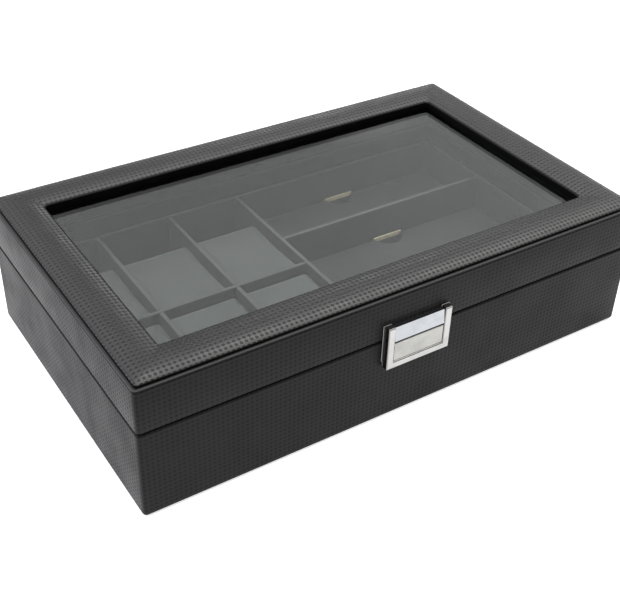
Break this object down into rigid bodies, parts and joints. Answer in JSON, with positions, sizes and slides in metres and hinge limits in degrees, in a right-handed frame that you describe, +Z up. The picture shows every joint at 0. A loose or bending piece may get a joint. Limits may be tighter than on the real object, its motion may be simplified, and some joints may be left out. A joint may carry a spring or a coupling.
{
  "type": "watch box",
  "caption": "Leather-covered watch and glasses box with a padded window lid on rear hinges, lined compartments, lift-out cushions and mats, and a chrome push clasp.",
  "frame": {"origin": "middle of the underside, on the table", "axes": "+X along the front to the right, +Y to the rear hinges, +Z up"},
  "size_m": [0.33, 0.2097, 0.0871],
  "materials": {
    "leather": "embossed, semi-matt",
    "board": "black-stained fibreboard",
    "lining": "short-pile velvet",
    "cushion_cloth": "suede cloth",
    "foam": "soft foam",
    "felt": "felt",
    "ribbon": "satin ribbon",
    "glass": "clear float glass",
    "chrome": "polished and satin",
    "steel": "plated"
  },
  "bodies": {
    "base": {"base_bottom_panel": "board", "base_felt": "felt", "base_wrap": "leather", "base_front_wall": "board", "base_rear_wall": "board", "base_left_wall": "board", "base_right_wall": "board", "tray_floor": "lining", "tray_front_wall": "lining", "tray_rear_wall": "lining", "tray_left_wall": "lining", "tray_right_wall": "lining", "watch_divider_left": "lining", "watch_divider_right": "lining", "centre_divider": "lining", "watch_cross_divider": "lining", "glasses_divider_front": "lining", "glasses_divider_rear": "lining", "hinge_left_base_leaf": "steel", "hinge_left_pin": "steel", "hinge_right_base_leaf": "steel", "hinge_right_pin": "steel", "hinge_base_screws": "steel", "clasp_back_plate": "chrome", "clasp_housing": "chrome", "clasp_screws": "steel", "clasp_leaf_spring": "steel"},
    "lid": {"lid_front_wall": "board", "lid_rear_wall": "board", "lid_left_wall": "board", "lid_right_wall": "board", "lid_top_board": "board", "lid_wrap": "leather", "lid_cover": "leather", "glass_pane": "glass", "lid_padding_front": "foam", "lid_padding_rear": "foam", "lid_padding_left": "foam", "lid_padding_right": "foam", "glass_retainer_front": "lining", "glass_retainer_rear": "lining", "glass_retainer_left": "lining", "glass_retainer_right": "lining", "hinge_left_lid_leaf": "steel", "hinge_right_lid_leaf": "steel", "hinge_lid_screws": "steel", "clasp_catch": "chrome"},
    "clasp_button": {"clasp_button": "chrome"},
    "watch_cushion_1": {"watch_cushion_1": "cushion_cloth"},
    "watch_cushion_2": {"watch_cushion_2": "cushion_cloth"},
    "watch_cushion_3": {"watch_cushion_3": "cushion_cloth"},
    "watch_cushion_4": {"watch_cushion_4": "cushion_cloth"},
    "watch_cushion_5": {"watch_cushion_5": "cushion_cloth"},
    "watch_cushion_6": {"watch_cushion_6": "cushion_cloth"},
    "glasses_mat_1": {"glasses_mat_1": "lining", "pull_tab_1": "ribbon"},
    "glasses_mat_2": {"glasses_mat_2": "lining", "pull_tab_2": "ribbon"},
    "glasses_mat_3": {"glasses_mat_3": "lining", "pull_tab_3": "ribbon"}
  },
  "joints": [
    {"name": "lid_hinge", "type": "hinge", "parent": "base", "child": "lid", "pos_m": [0, 0.1026, 0.0559], "axis": [-1, 0, 0], "range_deg": [0, 95]},
    {"name": "clasp_press", "type": "slide", "parent": "base", "child": "clasp_button", "axis": [0, 1, 0], "range_m": [0, 0.001], "stiffness_N_per_m": 400, "deforming": ["clasp_leaf_spring"]},
    {"name": "watch_cushion_1_lift", "type": "slide", "parent": "base", "child": "watch_cushion_1", "axis": [0, 0, 1], "range_m": [0, 0.035]},
    {"name": "watch_cushion_2_lift", "type": "slide", "parent": "base", "child": "watch_cushion_2", "axis": [0, 0, 1], "range_m": [0, 0.035]},
    {"name": "watch_cushion_3_lift", "type": "slide", "parent": "base", "child": "watch_cushion_3", "axis": [0, 0, 1], "range_m": [0, 0.035]},
    {"name": "watch_cushion_4_lift", "type": "slide", "parent": "base", "child": "watch_cushion_4", "axis": [0, 0, 1], "range_m": [0, 0.035]},
    {"name": "watch_cushion_5_lift", "type": "slide", "parent": "base", "child": "watch_cushion_5", "axis": [0, 0, 1], "range_m": [0, 0.035]},
    {"name": "watch_cushion_6_lift", "type": "slide", "parent": "base", "child": "watch_cushion_6", "axis": [0, 0, 1], "range_m": [0, 0.035]},
    {"name": "glasses_mat_1_lift", "type": "slide", "parent": "base", "child": "glasses_mat_1", "axis": [0, 0, 1], "range_m": [0, 0.036]},
    {"name": "glasses_mat_2_lift", "type": "slide", "parent": "base", "child": "glasses_mat_2", "axis": [0, 0, 1], "range_m": [0, 0.036]},
    {"name": "glasses_mat_3_lift", "type": "slide", "parent": "base", "child": "glasses_mat_3", "axis": [0, 0, 1], "range_m": [0, 0.036]}
  ]
}
